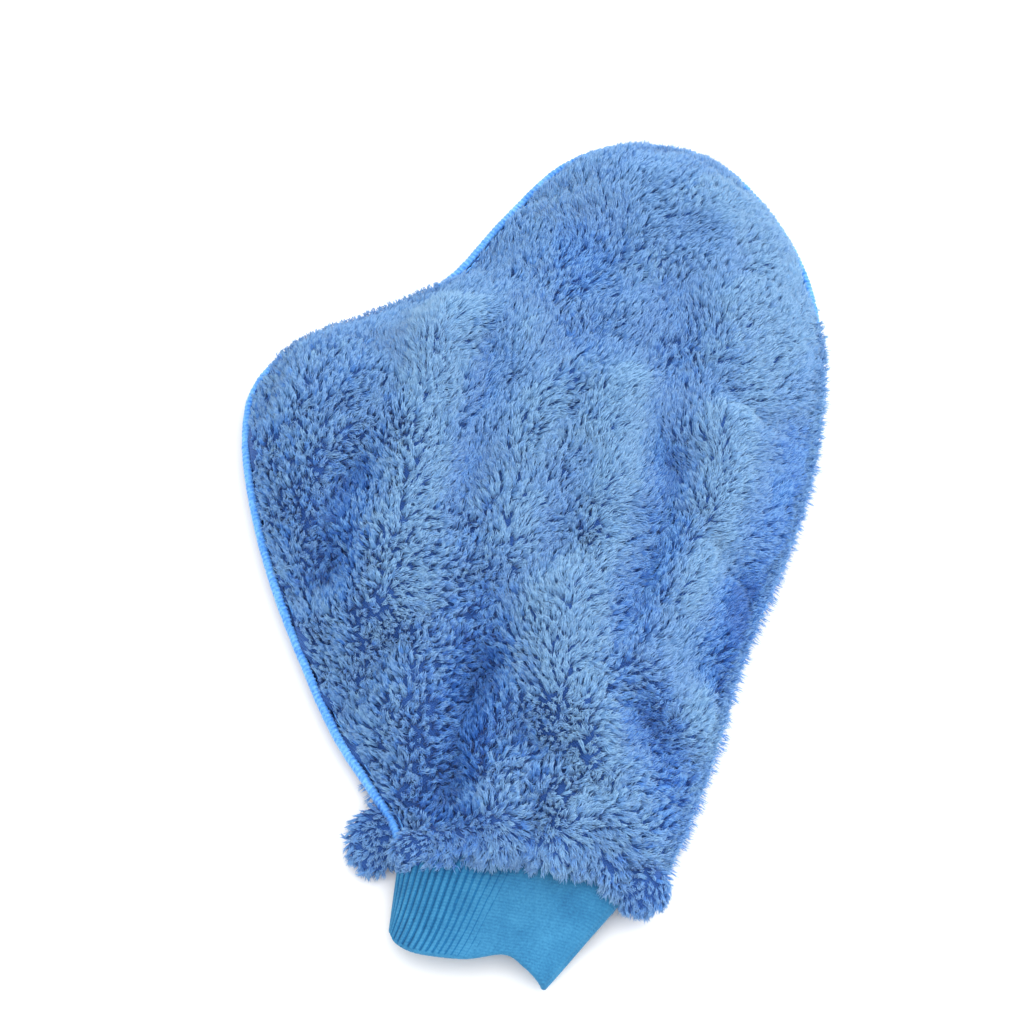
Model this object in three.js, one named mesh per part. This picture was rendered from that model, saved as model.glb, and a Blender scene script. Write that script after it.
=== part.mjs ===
// Plush wash mitt: a two-panel pile pouch with a thumb lobe, an overlocked outer seam and a rib-knit cuff.
//
// Sizes are in millimetres. The part lies palm down on z = 0 with the fingertips toward +Y, the cuff
// toward -Y and the thumb toward -X. It is built with y = 0 at the mouth of the pouch and then moved so
// that the origin is the bottom centre of the bounding box.

import * as THREE from 'three';

// Sewn outline from the mouth's thumb side, round the thumb and fingers, to the mouth's other side.
const OUTLINE = [
  [-38, 0], [-41, 12], [-50, 24], [-65, 42], [-78, 63], [-94, 92], [-106, 120], [-113, 145],
  [-113, 163], [-102, 181], [-84, 193], [-59, 212], [-43.5, 239], [-27, 264], [-9, 275],
  [8, 277], [25, 273], [43, 258], [59, 235], [68, 207], [71, 172], [68, 136], [58, 91],
  [53, 54], [47, 22], [41, 0],
];
const OUTLINE_STEPS = 640;

// Heights of the layers at the seam, all measured up from the floor.
const PALM_PILE_TOP = 6.0;
const PALM_KNIT_LOW = 6.3;
const PALM_KNIT_TOP = 7.5;
const BACK_KNIT_LOW = 7.8;
const BACK_FLANGE_TOP = 8.45;
const KNIT_PLY = 1.2;
const LAYER_GAP = 0.35;
const PILE_LENGTH = 7;

// The hand space: full height, height at the fingers, and how far in from the edge it takes to rise.
const HAND_RISE = 21.5;
const FINGER_RISE = 17.5;
const RISE_WIDTH = 34;
const RISE_POWER = 2.6;
const TAPER_FROM = 130;
const TAPER_TO = 250;

// How far in from the sewn outline the knit panels and the hand space start.
const KNIT_EDGE = 1.5;
const CAVITY_START = 5.0;

// The edge stitching wraps both panel edges, like a C lying on its side.
const WRAP_LOW = 5.0;
const WRAP_TOP = 9.8;
const WRAP_WALL = 1.0;
const WRAP_BACK = 1.2;
const WRAP_WIDTH = 3.2;
const NEEDLE_LINE = 6.6;
const NEEDLE_RADIUS = 0.3;

// The cuff: a double tube of rib knit, folded at the hem and sewn in at its other end.
const CUFF_SEWN_Y = 8;
const CUFF_HEM_Y = -31;
const CUFF_PLY = 1.2;
const CUFF_PLY_GAP = 1.4;
const CUFF_WALL = 2 * CUFF_PLY + CUFF_PLY_GAP;
const CUFF_CREASE = 0.13;
const CUFF_SEWN = { x: 1.5, half: 32, low: 7.85, top: 28.2 };
const CUFF_HEM = { x: -8, half: 29.5, low: 3.5, top: 23.5 };
const CUFF_SIDES = 48;
const JOIN_FROM_Y = 8.4;
const JOIN_TO_Y = 11.6;

// Rows run across the pouch from the mouth to the fingertips, columns from the thumb side to the other.
const ROWS = 34;
const ROOF_COLS = 18;
const FLAT_COLS = 4;
const TIP_MARGIN = 0.35;

const smooth = (from, to, x) => {
  const t = Math.min(1, Math.max(0, (x - from) / (to - from)));
  return t * t * (3 - 2 * t);
};

const mix = (a, b, t) => a + (b - a) * t;

// The smooth outline as evenly spaced points, each with its outward direction, which is square to the
// mouth at the mouth and square to the outline elsewhere.
function sampleOutline() {
  const curve = new THREE.CatmullRomCurve3(
    OUTLINE.map(([x, y]) => new THREE.Vector3(x, y, 0)), false, 'centripetal',
  );
  curve.arcLengthDivisions = 2000;
  return curve.getSpacedPoints(OUTLINE_STEPS).map((p, i) => {
    const tangent = curve.getTangentAt(i / OUTLINE_STEPS);
    const away = smooth(0, 14, p.y);
    const nx = mix(Math.sign(-tangent.y), -tangent.y, away);
    const ny = mix(0, tangent.x, away);
    const length = Math.hypot(nx, ny);
    return { x: p.x, y: p.y, nx: nx / length, ny: ny / length };
  });
}

const OUTLINE_POINTS = sampleOutline();

// Distance from a point inside the pouch to the sewn outline.
function edgeDistance(x, y) {
  let least = Infinity;
  for (const p of OUTLINE_POINTS) {
    least = Math.min(least, (p.x - x) ** 2 + (p.y - y) ** 2);
  }
  return Math.sqrt(least);
}

// The point where one side of the outline crosses a given y.
function crossing(side, y) {
  const i = Math.max(1, side.findIndex((p) => p.y >= y));
  const a = side[i - 1];
  const b = side[i];
  const t = (y - a.y) / (b.y - a.y);
  return { x: mix(a.x, b.x, t), y, nx: mix(a.nx, b.nx, t), ny: mix(a.ny, b.ny, t) };
}

// Where each row meets the outline: its thumb side end and its other end. Every layer and the edge
// stitching use these same stations, so they stay parallel to each other all round.
function sampleStations() {
  const tip = OUTLINE_POINTS.reduce((best, p, i) => (p.y > OUTLINE_POINTS[best].y ? i : best), 0);
  const thumb = OUTLINE_POINTS.slice(0, tip + 1);
  const other = OUTLINE_POINTS.slice(tip).reverse();
  const rows = [];
  for (let r = 0; r <= ROWS; r += 1) {
    const y = (OUTLINE_POINTS[tip].y - TIP_MARGIN) * (1 - (1 - r / ROWS) ** 1.6);
    rows.push([crossing(thumb, y), crossing(other, y)]);
  }
  return rows;
}

const STATIONS = sampleStations();

// A grid of points over the pouch inside the outline moved in by inset, each with the outward direction
// of the seam beside it.
function planGrid(inset, cols) {
  return STATIONS.map(([a, b]) => {
    const row = [];
    for (let c = 0; c <= cols; c += 1) {
      const t = 0.5 - 0.5 * Math.cos((Math.PI * c) / cols);
      const nx = mix(a.nx, b.nx, t);
      const ny = mix(a.ny, b.ny, t);
      const x = mix(a.x - a.nx * inset, b.x - b.nx * inset, t);
      const y = mix(a.y - a.ny * inset, b.y - b.ny * inset, t);
      row.push({ x, y, nx, ny });
    }
    return row;
  });
}

// A level grid for the flat palm layers.
function flatGrid(inset, z) {
  return planGrid(inset, FLAT_COLS).map((row) => row.map(({ x, y }) => [x, y, z]));
}

// How high the hand space is at a given y.
function handSpace(y) {
  return mix(HAND_RISE, FINGER_RISE, smooth(TAPER_FROM, TAPER_TO, y));
}

// Height of the hand space's roof over a point inside the pouch.
function roofHeight(x, y) {
  const inward = (edgeDistance(x, y) - CAVITY_START) / RISE_WIDTH;
  return BACK_KNIT_LOW + handSpace(y) * (1 - (1 - Math.min(1, Math.max(0, inward))) ** RISE_POWER);
}

// The roof of the hand space, with the normal that the layers over it stack along.
function sampleRoof() {
  const step = 0.5;
  return planGrid(CAVITY_START, ROOF_COLS).map((row, r) => row.map(({ x, y, nx, ny }, c) => {
    const onSeam = c === 0 || c === ROOF_COLS || r === ROWS;
    const edgeSlope = (RISE_POWER * handSpace(y)) / RISE_WIDTH;
    const slopeX = onSeam
      ? -nx * edgeSlope
      : (roofHeight(x + step, y) - roofHeight(x - step, y)) / (2 * step);
    const slopeY = onSeam
      ? -ny * edgeSlope
      : (roofHeight(x, y + step) - roofHeight(x, y - step)) / (2 * step);
    const z = onSeam ? BACK_KNIT_LOW : roofHeight(x, y);
    return { x, y, z, nx, ny, normal: new THREE.Vector3(-slopeX, -slopeY, 1).normalize() };
  }));
}

const ROOF = sampleRoof();

// The roof moved outward along its normals.
function roofGrid(offset) {
  return ROOF.map((row) => row.map(({ x, y, z, normal }) => (
    [x + normal.x * offset, y + normal.y * offset, z + normal.z * offset]
  )));
}

// A loop round a roof layer's side wall: at the seam it runs at a given inset and height, and across
// the mouth it runs a share of the way from the layer's under side to its upper side.
function roofLoop(inset, z, low, high, share) {
  return ROOF.map((row, r) => row.map((point, c) => {
    if (r === 0 && c > 0 && c < ROOF_COLS) {
      return low[r][c].map((value, axis) => mix(value, high[r][c][axis], share));
    }
    const out = CAVITY_START - inset;
    return [point.x + point.nx * out, point.y + point.ny * out, z];
  }));
}

// The border of a grid, once round: along the mouth, up the other side, back over the tip and down.
function borderOf(cols) {
  const border = [];
  for (let c = 0; c < cols; c += 1) border.push([0, c]);
  for (let r = 0; r < ROWS; r += 1) border.push([r, cols]);
  for (let c = cols; c > 0; c -= 1) border.push([ROWS, c]);
  for (let r = ROWS; r > 0; r -= 1) border.push([r, 0]);
  return border;
}

// A closed solid between two grids, with optional loops of other grids' borders on its side wall.
function layerSolid(bottom, top, loops = []) {
  const cols = top[0].length - 1;
  const positions = [];
  const indices = [];
  const add = (p) => positions.push(...p) / 3 - 1;
  const low = bottom.map((row) => row.map(add));
  const high = top.map((row) => row.map(add));
  for (let r = 0; r < ROWS; r += 1) {
    for (let c = 0; c < cols; c += 1) {
      indices.push(high[r][c], high[r][c + 1], high[r + 1][c + 1]);
      indices.push(high[r][c], high[r + 1][c + 1], high[r + 1][c]);
      indices.push(low[r][c], low[r + 1][c + 1], low[r][c + 1]);
      indices.push(low[r][c], low[r + 1][c], low[r + 1][c + 1]);
    }
  }
  const border = borderOf(cols);
  const rings = [
    border.map(([r, c]) => low[r][c]),
    ...loops.map((grid) => border.map(([r, c]) => add(grid[r][c]))),
    border.map(([r, c]) => high[r][c]),
  ];
  for (let k = 1; k < rings.length; k += 1) {
    for (let i = 0; i < border.length; i += 1) {
      const j = (i + 1) % border.length;
      indices.push(rings[k - 1][i], rings[k - 1][j], rings[k][j]);
      indices.push(rings[k - 1][i], rings[k][j], rings[k][i]);
    }
  }
  return closedGeometry(positions, indices);
}

function closedGeometry(positions, indices) {
  const geometry = new THREE.BufferGeometry();
  geometry.setAttribute('position', new THREE.Float32BufferAttribute(positions, 3));
  geometry.setIndex(indices);
  geometry.computeVertexNormals();
  return geometry;
}

// A closed section carried along stations, capped at both ends unless the stations form a ring.
function sweepSolid(stations, ring) {
  const positions = stations.flat(2);
  const n = stations[0].length;
  const indices = [];
  const spans = ring ? stations.length : stations.length - 1;
  for (let s = 0; s < spans; s += 1) {
    const a = s * n;
    const b = ((s + 1) % stations.length) * n;
    for (let i = 0; i < n; i += 1) {
      const j = (i + 1) % n;
      indices.push(a + i, a + j, b + j);
      indices.push(a + i, b + j, b + i);
    }
  }
  if (!ring) {
    const contour = sectionInPlane(stations[0]);
    const turned = THREE.ShapeUtils.isClockWise(contour);
    const end = (stations.length - 1) * n;
    for (const [i, p, q] of THREE.ShapeUtils.triangulateShape(contour, [])) {
      const [j, k] = turned ? [q, p] : [p, q];
      indices.push(i, k, j);
      indices.push(end + i, end + j, end + k);
    }
  }
  return outward(closedGeometry(positions, indices));
}

// A section's points measured along its own plane: sideways from its first point, and up.
function sectionInPlane(section) {
  const [x0, y0] = section[0];
  const [x1, y1] = section.reduce((best, p) => (
    Math.hypot(p[0] - x0, p[1] - y0) > Math.hypot(best[0] - x0, best[1] - y0) ? p : best
  ));
  const length = Math.hypot(x1 - x0, y1 - y0);
  const ux = (x1 - x0) / length;
  const uy = (y1 - y0) / length;
  return section.map(([x, y, z]) => new THREE.Vector2((x - x0) * ux + (y - y0) * uy, z));
}

// Turns a closed surface the right way out if its signed volume is negative.
function outward(geometry) {
  const p = geometry.getAttribute('position');
  const index = Array.from(geometry.getIndex().array);
  const at = (i) => new THREE.Vector3().fromBufferAttribute(p, i);
  let volume = 0;
  for (let i = 0; i < index.length; i += 3) {
    volume += at(index[i]).dot(at(index[i + 1]).cross(at(index[i + 2])));
  }
  if (volume < 0) {
    for (let i = 0; i < index.length; i += 3) {
      [index[i + 1], index[i + 2]] = [index[i + 2], index[i + 1]];
    }
    geometry.setIndex(index);
    geometry.computeVertexNormals();
  }
  return geometry;
}

// Carries a section of [inset, z] points along the sewn outline.
function alongSeam(section) {
  const seam = [
    ...STATIONS.map(([thumb]) => thumb),
    ...STATIONS.map(([, other]) => other).reverse(),
  ];
  return sweepSolid(
    seam.map((p) => section.map(([inset, z]) => [p.x - p.nx * inset, p.y - p.ny * inset, z])),
    false,
  );
}

// The cuff's flattened section at a given y and depth into its wall.
function cuffSection(y, depth) {
  const t = smooth(0, CUFF_HEM_Y, y);
  const x = mix(CUFF_SEWN.x, CUFF_HEM.x, t);
  const half = mix(CUFF_SEWN.half, CUFF_HEM.half, t) - depth;
  const low = mix(CUFF_SEWN.low, CUFF_HEM.low, t) + depth;
  const top = mix(CUFF_SEWN.top, CUFF_HEM.top, t) - depth;
  const crease = mix(low, top, CUFF_CREASE);
  return { x, half, low, top, crease };
}

function cuffPoint(angle, y, depth) {
  const { x, half, low, top, crease } = cuffSection(y, depth);
  const across = Math.cos(angle);
  const swell = 1 - Math.abs(across) ** RISE_POWER;
  const z = Math.sin(angle) > 0 ? mix(crease, top, swell) : mix(crease, low, swell);
  return [x + half * across, y, z];
}

// Carries a profile of [y, depth] points round the cuff's flattened tube.
function roundCuff(profile) {
  const stations = [];
  for (let s = 0; s < CUFF_SIDES; s += 1) {
    const angle = (2 * Math.PI * s) / CUFF_SIDES;
    stations.push(profile.map(([y, depth]) => cuffPoint(angle, y, depth)));
  }
  return sweepSolid(stations, true);
}

function backPile() {
  const under = roofGrid(KNIT_PLY + LAYER_GAP);
  const over = roofGrid(KNIT_PLY + LAYER_GAP + PILE_LENGTH);
  return layerSolid(under, over, [
    roofLoop(3.5, WRAP_TOP + 0.4, under, over, 0.3),
    roofLoop(0.8, WRAP_TOP + 0.6, under, over, 0.6),
  ]);
}

function backKnit() {
  const inner = roofGrid(0);
  const outer = roofGrid(KNIT_PLY);
  return layerSolid(inner, outer, [
    roofLoop(KNIT_EDGE, BACK_KNIT_LOW, inner, outer, 0.3),
    roofLoop(KNIT_EDGE, BACK_FLANGE_TOP, inner, outer, 0.6),
  ]);
}

function palmPile() {
  return layerSolid(flatGrid(6, 0), flatGrid(3.7, PALM_PILE_TOP), [
    flatGrid(3, 0.9), flatGrid(1.8, 2.6), flatGrid(2.4, 4.3), flatGrid(3.6, 4.8),
  ]);
}

function palmKnit() {
  return layerSolid(flatGrid(KNIT_EDGE, PALM_KNIT_LOW), flatGrid(KNIT_EDGE, PALM_KNIT_TOP));
}

function edgeOverlock() {
  const slotLow = WRAP_LOW + WRAP_WALL;
  const slotTop = WRAP_TOP - WRAP_WALL;
  const middle = (WRAP_LOW + WRAP_TOP) / 2;
  return alongSeam([
    [WRAP_WIDTH, WRAP_TOP], [WRAP_BACK, WRAP_TOP], [0.3, WRAP_TOP - 0.7], [0, middle],
    [0.3, WRAP_LOW + 0.7], [WRAP_BACK, WRAP_LOW], [WRAP_WIDTH, WRAP_LOW], [WRAP_WIDTH, slotLow],
    [WRAP_BACK, slotLow], [WRAP_BACK, slotTop], [WRAP_WIDTH, slotTop],
  ]);
}

function needleThread() {
  const section = [];
  for (let i = 0; i < 8; i += 1) {
    const angle = (2 * Math.PI * i) / 8;
    section.push([
      NEEDLE_LINE + NEEDLE_RADIUS * Math.cos(angle),
      PALM_KNIT_TOP + LAYER_GAP + NEEDLE_RADIUS * (1 + Math.sin(angle)),
    ]);
  }
  return alongSeam(section);
}

function ribCuff() {
  const turn = CUFF_HEM_Y + 1.9;
  const lengths = [CUFF_SEWN_Y, 3, -2, -8, -14, -19, -24, turn];
  const inner = CUFF_PLY + CUFF_PLY_GAP;
  const outside = lengths.map((y) => [y, 0]);
  const fold = [
    [CUFF_HEM_Y + 0.6, 0.6], [CUFF_HEM_Y, CUFF_WALL / 2], [CUFF_HEM_Y + 0.6, CUFF_WALL - 0.6],
  ];
  const inside = lengths.slice().reverse().map((y) => [y, CUFF_WALL]);
  const gapInner = lengths.slice(0, -1).map((y) => [y, inner]);
  const gapEnd = [
    [CUFF_HEM_Y + 2.3, inner], [CUFF_HEM_Y + 1.7, CUFF_WALL / 2], [CUFF_HEM_Y + 2.3, CUFF_PLY],
  ];
  const gapOuter = lengths.slice(0, -1).reverse().map((y) => [y, CUFF_PLY]);
  return roundCuff([...outside, ...fold, ...inside, ...gapInner, ...gapEnd, ...gapOuter]);
}

function cuffJoinSeam() {
  const low = 0.2;
  const high = CUFF_WALL - 0.2;
  return roundCuff([
    [JOIN_FROM_Y, low], [JOIN_TO_Y - 0.5, low], [JOIN_TO_Y, low + 0.5],
    [JOIN_TO_Y, high - 0.5], [JOIN_TO_Y - 0.5, high], [JOIN_FROM_Y, high],
  ]);
}

// The cuff's closing seam: a narrow strip of allowance held between the two plies, on the palm side.
function cuffSideSeam() {
  const depths = [CUFF_PLY + 0.3, CUFF_PLY + CUFF_PLY_GAP - 0.3];
  const angles = [-0.92, -0.89, -0.86, -0.83, -0.8];
  const stations = [];
  for (let s = 0; s <= 12; s += 1) {
    const y = mix(CUFF_SEWN_Y - 1, CUFF_HEM_Y + 4, s / 12);
    const outer = angles.map((angle) => cuffPoint(angle, y, depths[0]));
    const inner = angles.slice().reverse().map((angle) => cuffPoint(angle, y, depths[1]));
    stations.push([...outer, ...inner]);
  }
  return sweepSolid(stations, false);
}

const FABRICS = {
  plush: { color: 0x6a92ca, roughness: 0.95, metalness: 0 },
  ground: { color: 0x4f86c6, roughness: 0.9, metalness: 0 },
  edging: { color: 0x4c9ae8, roughness: 0.6, metalness: 0 },
  thread: { color: 0x5aa6ee, roughness: 0.6, metalness: 0 },
  rib: { color: 0x2f86bd, roughness: 0.85, metalness: 0 },
};

const PIECES = [
  ['back_pile', backPile, 'plush'],
  ['back_ground_knit', backKnit, 'ground'],
  ['palm_pile', palmPile, 'plush'],
  ['palm_ground_knit', palmKnit, 'ground'],
  ['edge_overlock', edgeOverlock, 'edging'],
  ['edge_needle_thread', needleThread, 'thread'],
  ['rib_cuff', ribCuff, 'rib'],
  ['cuff_side_seam', cuffSideSeam, 'thread'],
  ['cuff_join_seam', cuffJoinSeam, 'thread'],
];

const mitt = new THREE.Group();
mitt.name = 'wash_mitt';
for (const [name, build, fabric] of PIECES) {
  const mesh = new THREE.Mesh(outward(build()), new THREE.MeshStandardMaterial(FABRICS[fabric]));
  mesh.name = name;
  mitt.add(mesh);
}

const box = new THREE.Box3().setFromObject(mitt);
const centre = box.getCenter(new THREE.Vector3());
for (const mesh of mitt.children) mesh.geometry.translate(-centre.x, -centre.y, -box.min.z);

export default mitt;
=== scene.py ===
"""Looks of a plush wash mitt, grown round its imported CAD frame."""

import math

import bpy
import numpy as np
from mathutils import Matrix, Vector


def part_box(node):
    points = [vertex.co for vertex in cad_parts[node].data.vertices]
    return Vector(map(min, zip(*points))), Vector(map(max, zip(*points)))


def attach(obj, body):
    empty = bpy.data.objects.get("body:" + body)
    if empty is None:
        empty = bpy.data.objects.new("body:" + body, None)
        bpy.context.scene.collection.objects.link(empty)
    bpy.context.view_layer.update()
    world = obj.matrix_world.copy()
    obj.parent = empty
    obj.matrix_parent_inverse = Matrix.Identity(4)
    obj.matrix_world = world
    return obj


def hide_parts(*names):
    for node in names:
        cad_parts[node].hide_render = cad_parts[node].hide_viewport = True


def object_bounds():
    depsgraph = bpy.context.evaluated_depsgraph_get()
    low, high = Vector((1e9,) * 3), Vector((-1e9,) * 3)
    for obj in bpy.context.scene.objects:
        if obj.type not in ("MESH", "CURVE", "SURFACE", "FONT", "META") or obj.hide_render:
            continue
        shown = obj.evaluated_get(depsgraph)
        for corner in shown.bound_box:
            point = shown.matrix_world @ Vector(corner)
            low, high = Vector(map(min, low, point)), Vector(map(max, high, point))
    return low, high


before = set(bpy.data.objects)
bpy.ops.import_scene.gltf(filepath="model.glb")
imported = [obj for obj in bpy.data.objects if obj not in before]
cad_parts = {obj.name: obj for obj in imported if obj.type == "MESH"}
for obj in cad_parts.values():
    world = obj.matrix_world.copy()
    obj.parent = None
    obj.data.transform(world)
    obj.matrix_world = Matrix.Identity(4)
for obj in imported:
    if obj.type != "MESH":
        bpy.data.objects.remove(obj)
CAD_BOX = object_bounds()

MM = 0.001
TAU = 2 * math.pi


# ---- small maths


def smooth(low, high, x):
    t = np.clip((x - low) / (high - low), 0, 1)
    return t * t * (3 - 2 * t)


def mix(a, b, t):
    return a + (b - a) * t


def unit(v):
    return v / np.maximum(np.linalg.norm(v, axis=-1, keepdims=True), 1e-12)


def colour(red, green, blue):
    """A colour as the eye names it, 0 to 255, in the linear values a shader takes."""
    c = np.array([red, green, blue]) / 255
    linear = np.where(c <= 0.04045, c / 12.92, ((c + 0.055) / 1.055) ** 2.4)
    return (*linear.tolist(), 1.0)


class Waves:
    """A smooth random field over the plane, from -1 to 1 or so, whose bumps are about one size."""

    def __init__(self, size, seed, count=28):
        rng = np.random.default_rng(seed)
        angle = rng.uniform(0, TAU, count)
        scale = TAU / (size * rng.uniform(0.7, 1.6, count))
        self.k = np.stack([np.cos(angle), np.sin(angle)]) * scale
        self.phase = rng.uniform(0, TAU, count)
        self.gain = math.sqrt(2.0 / count)

    def __call__(self, xy):
        return self.gain * np.sin(xy[..., :2] @ self.k + self.phase).sum(-1)


# ---- the mitt's plan shape

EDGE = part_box("edge_overlock")
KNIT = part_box("back_ground_knit")
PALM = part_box("palm_ground_knit")
SEAM_Z = (EDGE[0].z + EDGE[1].z) / 2
MOUTH_Y = EDGE[0].y


def catmull(points, count):
    """A smooth open curve through points, as count points an even distance apart."""
    points = np.asarray(points, float)
    p = np.vstack([2 * points[0] - points[1], points, 2 * points[-1] - points[-2]])
    t = np.linspace(0, 1, 13)[:-1][:, None]
    spans = []
    for a, b, c, d in zip(p[:-3], p[1:-2], p[2:-1], p[3:]):
        cubic = 3 * b - a - 3 * c + d
        spans.append(0.5 * (2 * b + (c - a) * t + (2 * a - 5 * b + 4 * c - d) * t**2 + cubic * t**3))
    line = np.vstack([*spans, p[-2:-1]])
    return even(line, count)


def run_along(line):
    """How far along the line each of its points is."""
    return np.concatenate([[0], np.cumsum(np.linalg.norm(np.diff(line, axis=0), axis=1))])


def read_off(at, run, rows):
    """Rows that stand at run, read off at other places."""
    return np.stack([np.interp(at, run, rows[:, i]) for i in range(rows.shape[1])], -1)


def even(line, count):
    """The line resampled to count points an even distance apart."""
    run = run_along(line)
    return read_off(np.linspace(0, run[-1], count), run, line)


def seam_outline(count=720):
    """The sewn edge in plan, as the CAD edging has it, round from the mouth's thumb side."""
    step, smoothings = 1.2 * MM, 12
    co = np.array([v.co[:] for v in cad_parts["edge_overlock"].data.vertices])
    level = np.abs(co[:, 2] - SEAM_Z) < 0.1 * MM
    rim = np.unique(np.round(co[level][:, :2], 6), axis=0)
    ends = rim[rim[:, 1] < MOUTH_Y + 0.2 * MM]
    middle = np.array([(ends[:, 0].min() + ends[:, 0].max()) / 2, MOUTH_Y - 1 * MM])
    turn = np.arctan2(rim[:, 1] - middle[1], rim[:, 0] - middle[0])
    rim = rim[np.argsort(-turn)]
    keep = [0]
    for i in range(1, len(rim)):
        if np.linalg.norm(rim[i] - rim[keep[-1]]) > step:
            keep.append(i)
    line = catmull(rim[keep], count)
    for _ in range(smoothings):
        line[1:-1] = 0.25 * line[:-2] + 0.5 * line[1:-1] + 0.25 * line[2:]
    return line


OUTLINE = seam_outline()
TANGENT = unit(np.gradient(OUTLINE, axis=0))
OUTWARD = np.stack([-TANGENT[:, 1], TANGENT[:, 0]], 1)
TIP = int(np.argmax(OUTLINE[:, 1]))
# The middle of the mouth, from which folds and cuff points are measured.
ORIGIN = (OUTLINE[0] + OUTLINE[-1]) / 2 - np.array([1.5 * MM, 0])
UP_Y = OUTLINE[:, 1] - MOUTH_Y
THUMB_END = 190 * MM
FINGER_START = 212 * MM
SHOULDER_START = 215 * MM


def bare_edge():
    """How much of the edging the pile leaves clear along the outline: 1 all of it, 0 none."""
    x, y = OUTWARD[:, 0], OUTWARD[:, 1]
    left = (x < -0.5) & (y < 0.52) & (UP_Y < THUMB_END)
    finger = (UP_Y > FINGER_START) & (x < 0.25)
    shoulder = (UP_Y > SHOULDER_START) & (x >= 0.25)
    bare = np.where(left | finger, 1.0, np.where(shoulder, 0.55, 0.0))
    reach = 13
    window = np.hanning(2 * reach + 1)
    return np.convolve(np.pad(bare, reach, mode="edge"), window / window.sum(), mode="valid")


BARE = bare_edge()


def from_edge(xy):
    """Distance in from the sewn edge, and the number of the nearest outline point."""
    flat = xy.reshape(-1, 2)
    far = np.empty(len(flat))
    near = np.empty(len(flat), int)
    batch = 4000
    for i in range(0, len(flat), batch):
        d = ((flat[i : i + batch, None] - OUTLINE[None]) ** 2).sum(-1)
        near[i : i + batch] = d.argmin(1)
        far[i : i + batch] = np.sqrt(d.min(1))
    return far.reshape(xy.shape[:-1]), near.reshape(xy.shape[:-1])


def along_edge(inset, distance):
    """Places, tangents and outward directions at distances along the outline moved in by inset."""
    line = OUTLINE - OUTWARD * inset
    run = run_along(line)
    way = unit(read_off(distance, run, TANGENT))
    out = unit(read_off(distance, run, OUTWARD))
    return read_off(distance, run, line), way, out, run[-1]


def plan_grid(inset, rows, cols, start):
    """Points over the pouch in rows from mouth to tip, and each point's share of the way across."""
    low = MOUTH_Y + start
    crowding, tip_gap = 1.6, 0.25 * MM
    share = 1 - (1 - np.linspace(0, 1, rows + 1)) ** crowding
    top = low + (OUTLINE[TIP, 1] - low - tip_gap) * share
    moved = OUTLINE - OUTWARD * inset
    ends = []
    for side in (slice(0, TIP + 1), slice(TIP, None)):
        line, edge = OUTLINE[side], moved[side]
        order = np.argsort(line[:, 1])
        ends.append(read_off(top, line[order, 1], edge[order]))
    w = 0.5 - 0.5 * np.cos(math.pi * np.linspace(0, 1, cols + 1))
    across = np.broadcast_to(w, (rows + 1, cols + 1))
    return mix(ends[0][:, None], ends[1][:, None], across[..., None]), across


# ---- relief of the back panel

# Soft ridges and hollows of the slack pouch: height, half width in mm, and points in mm from ORIGIN.
# A height of 1 is FOLD_DEPTH in mm.
FOLD_DEPTH = 1.7
FOLDS = [
    (3.8, 7, [(-52, 188), (-52, 151), (-51, 119), (-50, 84)]),
    (-4.4, 7, [(-71, 124), (-73, 108), (-72, 90)]),
    (-1.2, 5, [(-63, 150), (-69, 125)]),
    (1.8, 8, [(-24, 176), (-20, 144), (-20, 111)]),
    (-1.8, 7, [(-37, 176), (-36, 139), (-36, 111)]),
    (-2.0, 6, [(-3, 115), (0, 104)]),
    (3.0, 8, [(8, 165), (10, 129), (7, 92)]),
    (3.8, 8, [(0, 80), (6, 61), (16, 36), (22, 20)]),
    (-1.8, 7, [(21, 172), (27, 148)]),
    (-3.6, 7, [(28, 138), (27, 118), (20, 86)]),
    (3.4, 6, [(42, 158), (40, 114), (39, 81), (47, 60)]),
    (-2.2, 6, [(62, 165), (61, 141), (57, 110)]),
    (-5.5, 7, [(55, 104), (48, 78)]),
    (-4.4, 7, [(27, 58), (37, 43), (44, 26)]),
    (-7.0, 7, [(-22, 60), (-23, 41), (-22, 25)]),
    (-2.2, 7, [(-22, 84), (-21, 58)]),
    (-2.2, 5, [(-2, 39), (2, 12)]),
    (-2.4, 4, [(-30, 21), (-16, 7)]),
    (-1.5, 11, [(-15, 217), (-9, 187)]),
    (-1.2, 8, [(20, 203), (24, 188)]),
    (-2.0, 6, [(23, 26), (29, 16)]),
    (1.6, 5, [(-9, 29), (-6, 8)]),
    (1.4, 5, [(10, 24), (11, 8)]),
    (1.8, 6, [(38, 36), (38, 12)]),
    (2.2, 14, [(37, 248), (50, 217), (48, 190)]),
]
FOLD_NOISE = Waves(46 * MM, 3)
FINE_NOISE = Waves(17 * MM, 4)
PLEAT_NOISE = Waves(40 * MM, 5)
# How many gathers there are across the mouth, and the phase they start at, in radians.
PLEATS = 4.3
PLEAT_PHASE = 2.6
ROLL_START = 4.2 * MM
ROLL_STEPS = 9
ROLL_TURN = math.radians(150)
ROWS, COLS = 96, 84


def stroke_distance(xy, points):
    line = np.array(points) * MM + ORIGIN
    best = np.full(xy.shape[:-1], np.inf)
    for a, b in zip(line[:-1], line[1:]):
        t = np.clip(((xy - a) @ (b - a)) / ((b - a) @ (b - a)), 0, 1)
        best = np.minimum(best, np.linalg.norm(xy - (a + t[..., None] * (b - a)), axis=-1))
    return best


def pleats(xy, across):
    """Gathers that run up from the mouth and fade, from -1 to 1."""
    fade = 1 - smooth(4 * MM, 66 * MM, xy[..., 1] - MOUTH_Y)
    return fade * np.cos(TAU * PLEATS * across + 1.1 * PLEAT_NOISE(xy) + PLEAT_PHASE)


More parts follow.
